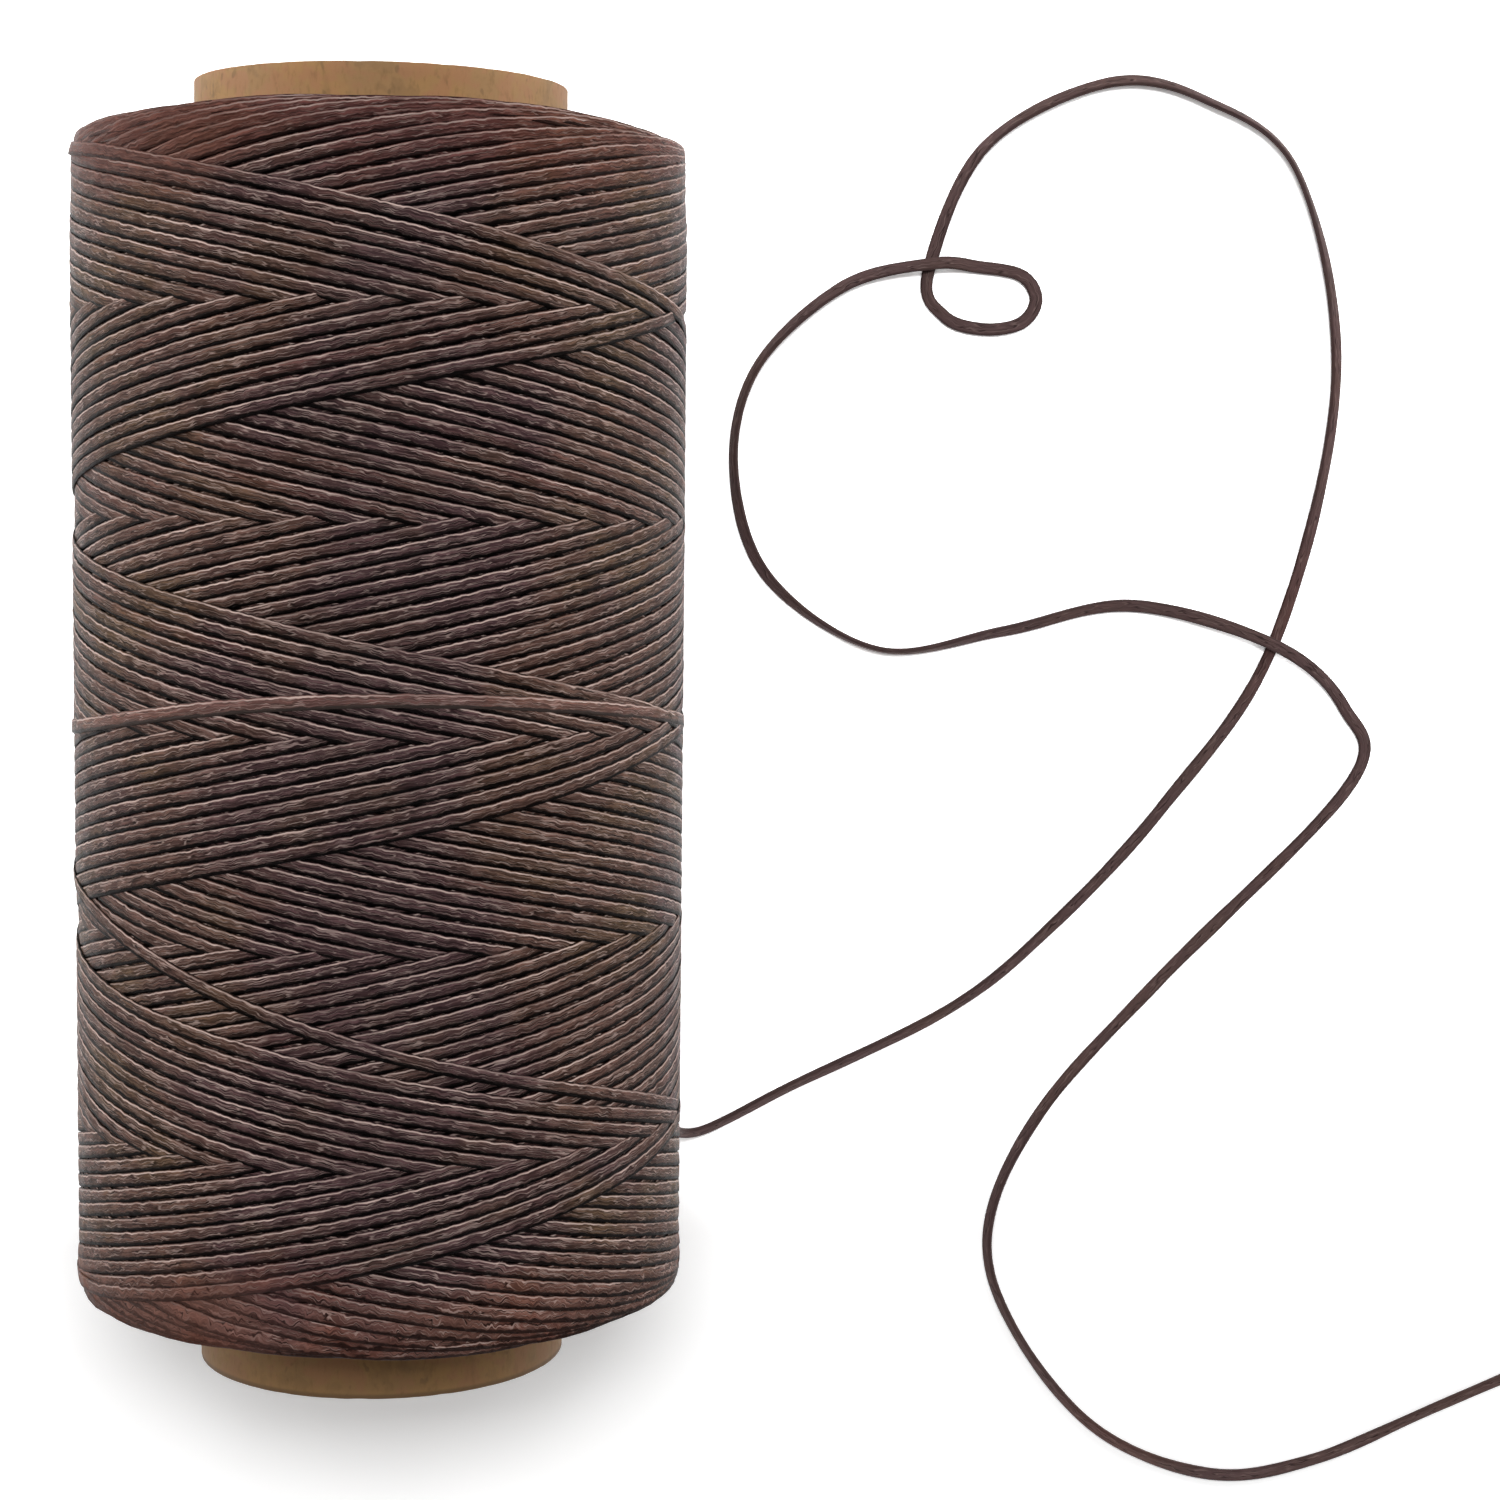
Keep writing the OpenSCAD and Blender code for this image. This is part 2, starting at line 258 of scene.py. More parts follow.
class Finish:
    """The nodes of a material, or of the room's light, under construction."""

    def __init__(self, owner, output="ShaderNodeOutputMaterial"):
        owner.use_nodes = True
        self.owner = owner
        self.tree = owner.node_tree
        self.tree.nodes.clear()
        self.surface = self.tree.nodes.new(output)

    def node(self, kind, settings=None, sockets=None):
        """Adds a node: its settings first, then the values or links of its sockets."""
        node = self.tree.nodes.new(kind)
        for name, value in (settings or {}).items():
            setattr(node, name, value)
        for name, value in (sockets or {}).items():
            if isinstance(value, Flow):
                self.tree.links.new(value.socket, node.inputs[name])
            else:
                node.inputs[name].default_value = value
        return Flow(self, node.outputs[0])

    def use(self, shader):
        """Puts the shader on the surface, and returns what the nodes belong to."""
        self.tree.links.new(shader.socket, self.surface.inputs["Surface"])
        return self.owner

    def space(self):
        """The piece's own coordinates, in metres."""
        return self.node("ShaderNodeTexCoord").output("Object")

    def stretched(self, vector, scale, turn=(0, 0, 0)):
        return self.node("ShaderNodeMapping", {}, {"Vector": vector, "Scale": scale, "Rotation": turn})

    def shifted(self, vector, amount):
        """A vector whose second part is moved by the amount."""
        parts = {axis: self.part(vector, axis) for axis in "XYZ"}
        parts["Y"] = parts["Y"] + amount
        return self.node("ShaderNodeCombineXYZ", {}, parts)

    def noise(self, vector, scale, detail, roughness):
        sockets = {"Vector": vector, "Scale": scale, "Detail": detail, "Roughness": roughness}
        return self.node("ShaderNodeTexNoise", {}, sockets)

    def part(self, vector, axis):
        return self.node("ShaderNodeSeparateXYZ", {}, {0: vector}).output(axis)

    def band(self, value, low, high):
        """0 below low and 1 above high, with a smooth rise between them."""
        sockets = {"Value": value, "From Min": low, "From Max": high}
        return self.node("ShaderNodeMapRange", {"interpolation_type": "SMOOTHSTEP"}, sockets)

    def around(self, value, middle, clear, gone):
        """1 where the value is within clear of the middle, and 0 where it is gone or more from it."""
        return 1 - self.band(abs(value - middle), clear, gone)

    def larger(self, first, second):
        return self.node("ShaderNodeMath", {"operation": "MAXIMUM"}, {0: first, 1: second})

    def mix(self, factor, first, second, blend="MIX"):
        """A mix of two colours, which are flows or three numbers each."""
        first, second = (colour if isinstance(colour, Flow) else (*colour, 1) for colour in (first, second))
        settings = {"data_type": "RGBA", "blend_type": blend}
        sockets = {0: factor, FIRST_COLOUR: first, SECOND_COLOUR: second}
        return self.node("ShaderNodeMix", settings, sockets).output(MIXED_COLOUR)

    def toned(self, colour, tone):
        """A colour made darker or lighter by the tone, which multiplies it."""
        grey = self.node("ShaderNodeCombineColor", {}, {0: tone, 1: tone, 2: tone})
        return self.mix(1.0, colour, grey, "MULTIPLY")

    def blended(self, factor, first, second):
        """A mix of two shaders."""
        return self.node("ShaderNodeMixShader", {}, {0: factor, 1: first, 2: second})

    def principled(self, colour, roughness, relief, depth, specular):
        """The shader of a piece's surface, with a relief of the given depth in metres."""
        normal = self.node("ShaderNodeBump", {}, {"Height": relief, "Distance": depth})
        sockets = {
            "Base Color": colour,
            "Roughness": roughness,
            "Normal": normal,
            "Specular IOR Level": specular,
        }
        return self.use(self.node("ShaderNodeBsdfPrincipled", {}, sockets))


# ---------------------------------------------------------------- finishes


class ThreadFinish(Finish):
    """Waxed multifilament thread: crinkled filaments in patchy brown, redder near a pack's ends and
    on the red stretch, which is given in millimetres along the thread."""

    def __init__(self, name, settings, in_pack=True, red_stretch=None):
        super().__init__(bpy.data.materials.new(name))
        self.settings = settings
        self.in_pack = in_pack
        place = self.space()
        self.along = self.node("ShaderNodeUVMap", {"uv_map": "thread"})
        self.patches = self.noise(place, 46.0, 2.0, 0.5)
        self.blotches = self.noise(self.stretched(place, (1.0, 1.6, 1.0)), 95.0, 2.0, 0.6)
        self.sides = self.head = self.foot = self.plain = self.reddened = 0.0
        if in_pack:
            self.place_on_pack(place)
        if red_stretch:
            start, end = red_stretch
            length = self.part(self.along, "X")
            self.reddened = self.band(length, start - 3, start + 3)
            self.reddened = self.reddened * (1 - self.band(length, end - 10, end + 10))

        # The thread's map is in millimetres, so these scales are repeats in a millimetre
        self.wobble = self.noise(self.stretched(self.along, (0.9, 0.5, 1.0)), 1.0, 2.0, 0.5) - 0.5
        crinkled = self.shifted(self.along, self.wobble * (self.foot * 1.4 + 0.6))
        self.filaments = self.noise(self.stretched(crinkled, (0.42, 5.0, 1.0)), 1.0, 2.0, 0.6)
        self.folds = self.noise(self.stretched(crinkled, (0.22, 3.0, 1.0), (0, 0, 0.03)), 1.0, 1.0, 0.5)
        self.lumps = self.noise(self.stretched(self.along, (0.4, 0.5, 1.0)), 1.0, 2.0, 0.5)
        # Millimetres from the middle of the thread's top, above 0 on the side that lies towards the
        # tube's head in the pack
        self.edge = self.part(self.along, "Y") + self.wobble * (self.foot * 0.35 + 0.35)
        # Where the top of the thread shows its folds
        self.face = self.band(self.lumps, 0.3, 0.5) * self.around(self.edge, 0.1, 0.3, 0.46)
        self.face = self.face * (self.foot * 0.6 + 1 - self.plain * 0.5)

    def place_on_pack(self, place):
        """Where a point lies on the pack, from 0 to 1 each: towards the sides, at the head, at the
        foot, and where the thread shows plainer, which is at both ends, most at their left."""
        beside = self.part(place, "X")
        height = self.part(place, "Y")
        wander = (self.patches - 0.5) * 0.02
        self.sides = self.band(abs(beside), 3 * MM, 24 * MM)
        self.head = self.band(height + wander, PACK_HEAD_Y - 9 * MM, PACK_HEAD_Y - 2 * MM)
        self.foot = 1 - self.band(height + wander, PACK_FOOT_Y + 1 * MM, PACK_FOOT_Y + 8 * MM)
        left = 1 - self.band(beside + wander, -17 * MM, -5 * MM) * 0.65
        self.plain = (self.head + self.foot) * left

    def hue(self):
        """Brown with patches of plum, olive and russet, and plainer in the loose end."""
        colours = self.settings
        browner = self.band(self.patches + self.sides * 0.2 + self.foot * 0.2, 0.48, 0.68)
        shade = self.mix(browner, colours.plum, colours.brown)
        yellower = self.band(self.blotches, 0.46, 0.7) * (self.sides * 0.5 + 0.3)
        shade = self.mix(yellower, shade, colours.olive)
        if not self.in_pack:
            shade = self.mix(0.65, shade, colours.loose)
        lengths = self.noise(self.stretched(self.along, (0.012, 0.02, 1.0)), 1.0, 2.0, 0.5)
        redder = self.band(lengths, 0.56, 0.72) * 0.35 + self.reddened * 0.5
        if self.in_pack:
            ruddy_foot = self.foot * (0.2 + self.band(self.blotches, 0.42, 0.6) * 0.35)
            redder = self.larger(redder, self.head * 0.6 + ruddy_foot)
        return self.mix(redder, shade, colours.russet)

    def tone(self):
        """How light the thread is: grey filaments with painted glints among them; in the pack, painted
        shade in the gaps beside each strand and over its half towards the tube's foot, and on the loose
        end, painted shade towards its edges; and painted shade in the hollows between its folds."""
        # Painted highlight: glints on the brighter filaments
        painted_glints = self.band(self.filaments, 0.5, 0.66) * 0.6 * (1 - self.plain * 0.4)
        tone = 0.3 + self.band(self.filaments, 0.3, 0.48) * 0.37 + painted_glints + self.reddened * 0.15
        if self.in_pack:
            # Painted shade: the strand's half towards the tube's foot is darkened, and both its edges go
            # nearly black where the gaps between strands lie, less so where the thread shows plainer near
            # the pack's ends
            painted_gap_shade = 0.94 - self.plain * 0.4
            foot_side, head_side = self.edge * -1, self.edge
            tone = tone + self.foot * 0.35
            tone = tone * (1 - self.band(foot_side, -0.3, 0.3) * (0.4 - self.plain * 0.3))
            tone = tone * (1 - self.band(foot_side, 0.25, 0.4) * painted_gap_shade)
            tone = tone * (1 - self.band(head_side, 0.57, 0.64) * painted_gap_shade)
        else:
            # Painted shade: the loose end darkens towards both its edges
            tone = (tone * 0.35 + 0.6) * (1 - self.band(abs(self.edge), 0.4, 0.62) * 0.35)
        # Painted shade in the hollows between the folds
        hollows = self.around(self.folds, 0.455, 0.01, 0.036) * self.face
        return tone * (1 - hollows * 0.6)

    def paleness(self):
        """Pale fibres on the folds' crests, partly a painted highlight, and, in the pack, frayed filaments
        and a painted highlight along each strand's edge towards the tube's head.
        """
        # Pale lines on the folds' crests: pale fibres, and in part a painted highlight of the folds
        fibres = self.around(self.folds, 0.51, 0.006, 0.026) * self.face
        if not self.in_pack:
            return fibres * 0.1
        frays = self.around(self.filaments, 0.56, 0.006, 0.03) * (1 - self.band(abs(self.edge), 0.36, 0.48))
        # Painted highlight: a pale line along each strand's edge towards the tube's head, broken up along
        # its length
        wear_and_highlight = self.band(self.edge, 0.38, 0.46) * (1 - self.band(self.edge, 0.5, 0.57))
        highlight_breaks = self.noise(self.stretched(self.along, (0.07, 0.3, 1.0)), 1.0, 2.0, 0.5)
        wear_and_highlight = wear_and_highlight * (self.band(highlight_breaks + self.wobble * 0.5, 0.25, 0.7) * 0.75 + 0.1)
        return fibres * 0.3 + frays * 0.1 + wear_and_highlight + self.reddened * 0.06

    def material(self):
        shade = self.toned(self.hue(), self.tone())
        shade = self.mix(self.paleness() * (1 - self.plain * 0.8), shade, self.settings.fleck_and_highlight)
        relief = self.filaments + self.folds * 0.3 + self.lumps * 0.3
        roughness = 0.5 - self.band(self.lumps, 0.35, 0.65) * 0.1 + (self.filaments - 0.5) * 0.2
        return self.principled(shade, roughness, relief, depth=0.16 * MM, specular=0.03)


def core_finish(settings):
    """The pack's end faces: the same thread seen on its edges, darker and redder."""
    finish = Finish(bpy.data.materials.new("inner_thread"))
    place = finish.space()
    grain = finish.noise(place, 2400.0, 3.0, 0.6)
    patches = finish.noise(place, 90.0, 2.0, 0.5)
    shade = finish.mix(finish.band(patches, 0.35, 0.7) * 0.5, settings.brown, settings.russet)
    shade = finish.toned(shade, 0.45 + grain * 0.55)
    roughness = 0.6 + (grain - 0.5) * 0.2
    return finish.principled(shade, roughness, grain, depth=0.08 * MM, specular=0.4)


def kraft_finish(settings):
    """Smooth kraft paper with warmer stains, short fibres, specks and fine creases along the tube, with
    painted shade in the creases and towards the foot's rim.
    """
    finish = Finish(bpy.data.materials.new("kraft_paper"))
    place = finish.space()
    fibres = finish.noise(finish.stretched(place, (1.0, 0.35, 1.0)), 2600.0, 3.0, 0.6)
    cloud = finish.noise(place, 180.0, 3.0, 0.55)
    stains = finish.noise(place, 430.0, 3.0, 0.55)
    specks = finish.noise(finish.stretched(place, (1.0, 0.6, 1.0)), 1100.0, 1.0, 0.5)
    creases = finish.noise(finish.stretched(place, (1.0, 0.12, 1.0)), 420.0, 2.0, 0.5)
    dark = tinted(settings.kraft, 0.42, 0.42, 0.42)
    pale = tinted(settings.kraft, 1.26, 1.21, 0.92)
    warm = tinted(settings.kraft, 1.1, 0.91, 1.06)
    shade = finish.mix(finish.band(cloud, 0.35, 0.7) * 0.5, settings.kraft, pale)
    shade = finish.mix(finish.band(stains, 0.46, 0.6) * 0.65, shade, warm)
    shade = finish.mix((1 - finish.band(stains, 0.36, 0.46)) * 0.22, shade, dark)
    shade = finish.mix(finish.band(fibres, 0.5, 0.75) * 0.3, shade, dark)
    shade = finish.mix(finish.band(specks, 0.66, 0.74) * 0.45, shade, dark)
    # Painted shade in the creases, besides their relief
    shade = finish.mix(finish.band(creases, 0.6, 0.75) * 0.4, shade, dark)
    # Painted shade: the wrap darkens over its last 4.5 mm towards the foot, and most in a thin painted dark
    # line at the foot's rim
    to_foot = finish.part(place, "Y") - FOOT_Y
    clear_of_rim_line = finish.band(to_foot, 0.25 * MM, 0.6 * MM) * 0.55
    clear_of_foot_shade = finish.band(to_foot, 0.5 * MM, 4.5 * MM) * 0.45
    shade = finish.mix(1 - clear_of_rim_line - clear_of_foot_shade, shade, dark)
    relief = fibres * 0.25 + creases * 0.8
    roughness = 0.68 + (fibres - 0.5) * 0.2
    return finish.principled(shade, roughness, relief, depth=0.05 * MM, specular=0.35)


def board_finish(name, colour):
    """Rough brown board of pressed fibres."""
    finish = Finish(bpy.data.materials.new(name))
    place = finish.space()
    fibres = finish.noise(place, 2200.0, 4.0, 0.7)
    cloud = finish.noise(place, 320.0, 2.0, 0.5)
    dark = tinted(colour, 0.5, 0.5, 0.5)
    shade = finish.mix(finish.band(fibres, 0.42, 0.75) * 0.6, colour, dark)
    shade = finish.mix(finish.band(cloud, 0.4, 0.7) * 0.25, shade, dark)
    roughness = 0.9 + (fibres - 0.5) * 0.1
    return finish.principled(shade, roughness, fibres, depth=0.09 * MM, specular=0.25)


def floor_finish():
    """White paper that shows as white to the camera, and keeps the soft shadow at the spool's foot."""
    finish = Finish(bpy.data.materials.new("white_table"))
    place = finish.space()
    # How pale the paper is: where the shadow shows, where it is kept clear, and as light falls on it
    shaded, clear, lit = (
        finish.node("ShaderNodeBsdfDiffuse", {}, {"Color": (level, level, level, 1)})
        for level in (1.24, 2.0, 0.8)
    )
    white = finish.node("ShaderNodeEmission", {}, {"Strength": 1.0})
    beside = finish.band(finish.part(place, "Y"), FOOT_Y + 2 * MM, FOOT_Y + 16 * MM)
    distance = finish.node("ShaderNodeVectorMath", {"operation": "LENGTH"}, {0: place}).output("Value")
    seen = finish.blended(beside, shaded, clear)
    seen = finish.blended(finish.band(distance, 0.12, 0.3), seen, white)
    path = finish.node("ShaderNodeLightPath")
    to_eye = finish.larger(path.output("Is Camera Ray"), path.output("Is Glossy Ray"))
    return finish.use(finish.blended(to_eye, lit, seen))


# ---------------------------------------------------------------- meshes


def unit(vectors):
    return vectors / np.linalg.norm(vectors, axis=-1, keepdims=True)


def distances(line):
    """How far along a line each of its points lies."""
    steps = np.linalg.norm(np.diff(line, axis=0), axis=1)
    return np.concatenate([[0], np.cumsum(steps)])


def around_axis(radius, height, angle):
    """Points at a radius from the tube's axis, a height along it and an angle round it."""
    return np.stack([radius * np.sin(angle), height, AXIS_Z + radius * np.cos(angle)], -1)


def add_piece(name, points, faces, material, slot_name, *nodes):
    """A smooth mesh object that rides on the root body and stands for the named CAD nodes."""
    mesh = bpy.data.meshes.new(name)
    mesh.from_pydata(points.tolist(), [], faces)
    mesh.polygons.foreach_set("use_smooth", np.ones(len(mesh.polygons), bool))
    mesh.materials.append(material)
    piece = bpy.data.objects.new(name, mesh)
    bpy.context.scene.collection.objects.link(piece)
    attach(piece, "root")
    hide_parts(*nodes)
    return piece


def grid_faces(rings, sides, closed_rings=False):
    """Quads between neighbouring rings of a surface whose rings close round, facing outwards."""
    ring = np.arange(rings if closed_rings else rings - 1)[:, None]
    side = np.arange(sides)[None, :]
    here = ring * sides
    there = ((ring + 1) % rings) * sides
    following = (side + 1) % sides
    return np.stack([here + side, here + following, there + following, there + side], -1).reshape(-1, 4)


# The flat thread's outline: degrees round a rounded oblong, from the underside, closer on the top
OUTLINE = np.radians([-90, -45, 0, 28, 60, 90, 120, 152, 180, 225])
TOP_POINT = 5
OUTLINE_POWER = 2 / 4


def outline():
    """The outline's points, as shares of half the width and half the thickness."""
    across, up = np.cos(OUTLINE), np.sin(OUTLINE)
    return np.stack([np.sign(part) * abs(part) ** OUTLINE_POWER for part in (across, up)], -1)


def thread_rings(centres, sides, widths, thicknesses, rolls):
    """Rings of the flat thread round its centres, with its width along sides and rolled by rolls."""
    heading = unit(np.gradient(centres, axis=0))
    side = unit(sides - np.sum(sides * heading, -1, keepdims=True) * heading)
    up = np.cross(heading, side)
    cosine, sine = np.cos(rolls)[:, None], np.sin(rolls)[:, None]
    side, up = side * cosine + up * sine, up * cosine - side * sine
    shape = outline()
    across = shape[None, :, 0, None] * (widths / 2)[:, None, None] * side[:, None, :]
    through = shape[None, :, 1, None] * (thicknesses / 2)[:, None, None] * up[:, None, :]
    rings = centres[:, None, :] + across + through
    rings[..., 2] = np.maximum(rings[..., 2], 0)
    return rings


def add_thread(name, rings, rows, material, slot_name, *nodes):
    """A closed piece of thread through its rings, whose bake map is cut into rows."""
    count, sides = rings.shape[:2]
    caps = [list(range(sides - 1, -1, -1)), [(count - 1) * sides + k for k in range(sides)]]
    faces = grid_faces(count, sides).tolist() + caps
    piece = add_piece(name, rings.reshape(-1, 3), faces, material, slot_name, *nodes)
    ring, side = np.divmod(np.arange((count - 1) * sides), sides)
    ring_corners = np.stack([ring, ring, ring + 1, ring + 1], -1)
    side_corners = np.stack([side, side + 1, side + 1, side], -1)
    add_thread_map(piece.data, rings, ring_corners, side_corners)
    add_bake_map(piece.data, rings, ring_corners, side_corners, rows)
    return piece


def add_thread_map(mesh, rings, ring_corners, side_corners):
    """The map that the finish follows: millimetres along the thread and, from the middle of its
    top, round it."""
    length = distances(rings.mean(1)) / MM
    hop = np.linalg.norm(np.roll(rings, -1, axis=1) - rings, axis=2).mean(0) / MM
    girth = np.concatenate([[0], np.cumsum(hop)])
    girth = girth[TOP_POINT] - girth
    caps = np.zeros(2 * rings.shape[1])
    set_map(mesh, "thread", np.append(length[ring_corners], caps), np.append(girth[side_corners], caps))


def add_bake_map(mesh, rings, ring_corners, side_corners, rows):
    """The map for baking: the thread's strip cut into rows one above the other, and its two caps
    in the margin at the top."""
    count, sides = rings.shape[:2]
    side_margin, row_margin = 0.001, 0.06
    per_row = math.ceil((count - 1) / rows)
    row = ring_corners[:, :1] // per_row
    across = (ring_corners - row * per_row) / per_row
    up = (side_corners / sides) * (1 - 2 * row_margin) + row_margin
    cap_round = np.tile(FULL_TURN * np.arange(sides) / sides, 2)
    cap_size = 0.3 * row_margin / rows
    cap_across = 0.5 + cap_size * np.cos(cap_round)
    cap_up = 1 - cap_size + cap_size * np.sin(cap_round)
    strip_across = side_margin + (1 - 2 * side_margin) * across
    set_map(mesh, "OFBake", np.append(strip_across, cap_across), np.append((row + up) / rows, cap_up))


def set_map(mesh, name, across, up):
    layer = mesh.uv_layers.new(name=name)
    layer.uv.foreach_set("vector", np.stack([across, up], -1).ravel())


# ---------------------------------------------------------------- winding


def drift(turns, rng, size, periods):
    """A smooth wander along the thread: a few waves that never fall in step with the turns."""
    waves = [np.sin(FULL_TURN * (turns / period + rng.random())) for period in periods]
    return size * sum(waves) / math.sqrt(len(periods))


def turning_back(turns, bend):
    """How far along the tube the thread is from a stroke's end, so many turns before or after the
    middle of its bend there."""
    return LEAD * (turns**2 + bend**2) / (2 * bend)


def wound_heights(turns, rng):
    """Height along the tube after so many turns of the cross winding."""
    spread = 0.05
    foot_bend = FOOT_BEND * (1 + spread * rng.standard_normal(CYCLES + 1))
    head_bend = HEAD_BEND * (1 + spread * rng.standard_normal(CYCLES + 1))
    foot_bend = foot_bend[np.floor(turns / CYCLE_TURNS + 0.5).astype(int)]
    head_bend = head_bend[np.minimum(CYCLES, np.floor(turns / CYCLE_TURNS).astype(int))]
    phase = turns % CYCLE_TURNS
    rise = np.minimum(phase, CYCLE_TURNS - phase)
    fall = STROKE_TURNS - rise
    low = STROKE_LOW + turning_back(rise, foot_bend)
    high = STROKE_HIGH - turning_back(fall, head_bend)
    height = np.where(rise < foot_bend, low, STROKE_LOW + LEAD * rise)
    return np.where(fall < head_bend, high, height)


def end_waves(height, angle):
    """How far along the tube the pack's ends, which aren't quite flat, are shifted at an angle."""
    reach = 15 * MM
    near_head = np.clip((height - PACK_HEAD_Y) / reach + 1, 0, 1)
    near_foot = np.clip((PACK_FOOT_Y - height) / reach + 1, 0, 1)
    # The head stands out at the top and in at the sides, less so at the left one
    saddle = -0.35 + 0.28 * np.cos(angle) + 0.62 * np.cos(2 * angle)
    left_corner = 0.4 * np.clip(-np.sin(angle), 0, 1) ** 30
    head = (saddle + left_corner) * MM
    # The foot stands out round its top
    foot = -0.4 * MM * np.clip(np.cos(angle - 0.25), 0, 1) ** 2
    return near_head**2 * head + near_foot**2 * foot


def last_heights(turns):
    """Height along the tube after so many turns of the last turns."""
    low = STROKE_LOW + turning_back(turns, FOOT_BEND)
    straight = STROKE_LOW + LEAD * turns
    regular = np.where(turns < FOOT_BEND, low, straight)
    knots, heights = np.array(LAST_ROUTE).T
    knots = np.concatenate([[LAST_STRAIGHT - 0.1, LAST_STRAIGHT], knots])
    heights = np.concatenate([(STROKE_LOW + LEAD * knots[:2]) / MM, heights]) * MM
    height = np.where(turns < LAST_STRAIGHT, regular, np.interp(turns, knots, heights))
    for _ in range(2):
        height = smoothed(height, 70)
    return height


def smoothed(values, reach):
    """A running mean over reach samples each way, which leaves the ends in place."""
    before = 2 * values[0] - values[reach:0:-1]
    after = 2 * values[-1] - values[-2 : -reach - 2 : -1]
    total = np.cumsum(np.concatenate([[0], before, values, after]))
    window = 2 * reach + 1
    return (total[window:] - total[:-window]) / window


def pulled_taut(seat, before):
    """The seat of a thread that is pulled tight over what lies under it: a straight line wherever
    the pack drops away. On a straight line the radius, less half the pack's radius times the square
    of the angle, changes evenly."""
    level = np.concatenate([[before], seat]) if before is not None else seat
    angle = np.arange(len(level)) * (FULL_TURN / COLUMNS)
    bow = PACK_R * angle**2 / 2
    values = (level - bow).tolist()
    hull = []
    for here, value in enumerate(values):
        while len(hull) > 1:
            first, second = hull[-2:]
            rise, step = values[second] - values[first], second - first
            if rise * (here - first) > (value - values[first]) * step:
                break
            hull.pop()
        hull.append(here)
    taut = np.interp(np.arange(len(level)), hull, np.array(values)[hull]) + bow
    return taut[len(level) - len(seat) :]


class Pack:
    """The pack as it grows: its radius on a grid of rows along the tube and columns round it."""

    def __init__(self, base_radius, thickness):
        """The layers below those that show, on which the newest turns lie highest."""
        angle = START_ANGLE + FULL_TURN * np.arange(COLUMNS)[None, :] / COLUMNS
        height = ROWS_LOW + ROW * np.arange(ROW_COUNT)[:, None]
        turns = (angle - START_ANGLE) / FULL_TURN
        newest_up = STROKE_LOW + LEAD * (turns + 1 / CYCLES)
        newest_down = STROKE_HIGH - LEAD * (turns + 1 / CYCLES - STROKE_TURNS)
        up_age = ((height - newest_up) % LEAD) / LEAD
        down_age = ((newest_down - height) % LEAD) / LEAD
        self.radius = base_radius - thickness * (up_age + down_age) - self.shoulder(height)
        self.thickness = thickness
        self.last_seat = None

    def shoulder(self, height):
        """How far the pack's surface rounds off towards its ends."""
        foot_drop, foot_reach = 0.12 * MM, 2 * MM
        head_drop, head_reach = 0.3 * MM, 6 * MM
        foot = foot_drop * np.clip(1.15 - (height - PACK_FOOT_Y) / foot_reach, 0, 1)
        head = head_drop * np.clip(1.5 - (PACK_HEAD_Y - height) / head_reach, 0, 1)
        return foot + head

    def squeeze(self, height):
        """How flat a strand lies near an end, where strands crowd as they turn back."""
        spare, flattest = 0.45 * MM, 0.3
        foot = (height - TURN_Y_LOW + spare) / (LEAD * FOOT_BEND / 2)
        head = (TURN_Y_HIGH - height + spare) / (LEAD * HEAD_BEND / 2)
        return np.sqrt(np.clip(np.minimum(foot, head), flattest, 1))

    def lay(self, samples, height, ceiling, sink):
        """Lays thread on the pack and returns its middle's radius, how far it leans and how thick it
        is. Where its seat would stand above the ceiling, the winding presses it into the turns below."""
        columns = samples % COLUMNS
        rows = np.rint((height - ROWS_LOW) / ROW).astype(int)

        def highest(first, last):
            return np.max([self.radius[rows + k, columns] for k in range(first, last + 1)], axis=0)

        head_edge, foot_edge = highest(2, 4), highest(-4, -2)
        between_edges = 6 * ROW  # from the middle row of one to that of the other
        seat = np.maximum(highest(-1, 1), (head_edge + foot_edge) / 2)
        squeeze = self.squeeze(height)
        ceiling = ceiling - self.shoulder(height) + self.thickness * (1 - squeeze)
        seat = pulled_taut(np.minimum(seat, ceiling), self.last_seat)
        self.last_seat = seat[-1]
        seat = seat - sink
        thick = self.thickness * squeeze
        crown_power = 2.6
        for k in range(-HALF_STRAND, HALF_STRAND + 1):
            beside = abs(k / (HALF_STRAND + 0.2))
            top = seat + thick * (0.5 + 0.5 * (1 - beside**crown_power) ** (1 / crown_power))
            self.radius[rows + k, columns] = np.maximum(self.radius[rows + k, columns], top)
        lean = np.clip(smoothed((head_edge - foot_edge) / between_edges, 50), -0.5, 0.5)
        return seat + thick / 2, lean, thick


def turn_rings(pack, samples, heights, ceilings, sinks, width, rng):
    """Lays a run of thread stroke by stroke and returns its rings and the line of its middle."""
    laid = []
    for first in range(0, len(samples), STROKE_SAMPLES):
        run = slice(first, min(first + STROKE_SAMPLES, len(samples)))
        laid.append(np.stack(pack.lay(samples[run], heights[run], ceilings[run], sinks[run])))
    radius, lean, thick = np.concatenate(laid, 1)
    picked = np.arange(0, len(samples), RING_SAMPLES)
    turns = samples[picked] / COLUMNS
    angle = START_ANGLE + FULL_TURN * turns
    centres = around_axis(smoothed(radius, 6)[picked], heights[picked], angle)
    sides = np.tile([0.0, 1.0, 0.0], (len(picked), 1))
    thick = thick[picked]
    flattened = 1.12 - 0.12 * (thick / pack.thickness)  # a strand that is pressed flatter is wider
    widths = width * (1 + drift(turns, rng, 0.05, (0.21, 0.057, 0.9))) * flattened
    rolls = np.arctan(0.6 * lean[picked]) + drift(turns, rng, math.radians(4), (0.17, 0.43, 1.3))
    rings = thread_rings(centres, sides, widths, thick * 1.15, rolls)
    return rings, centres


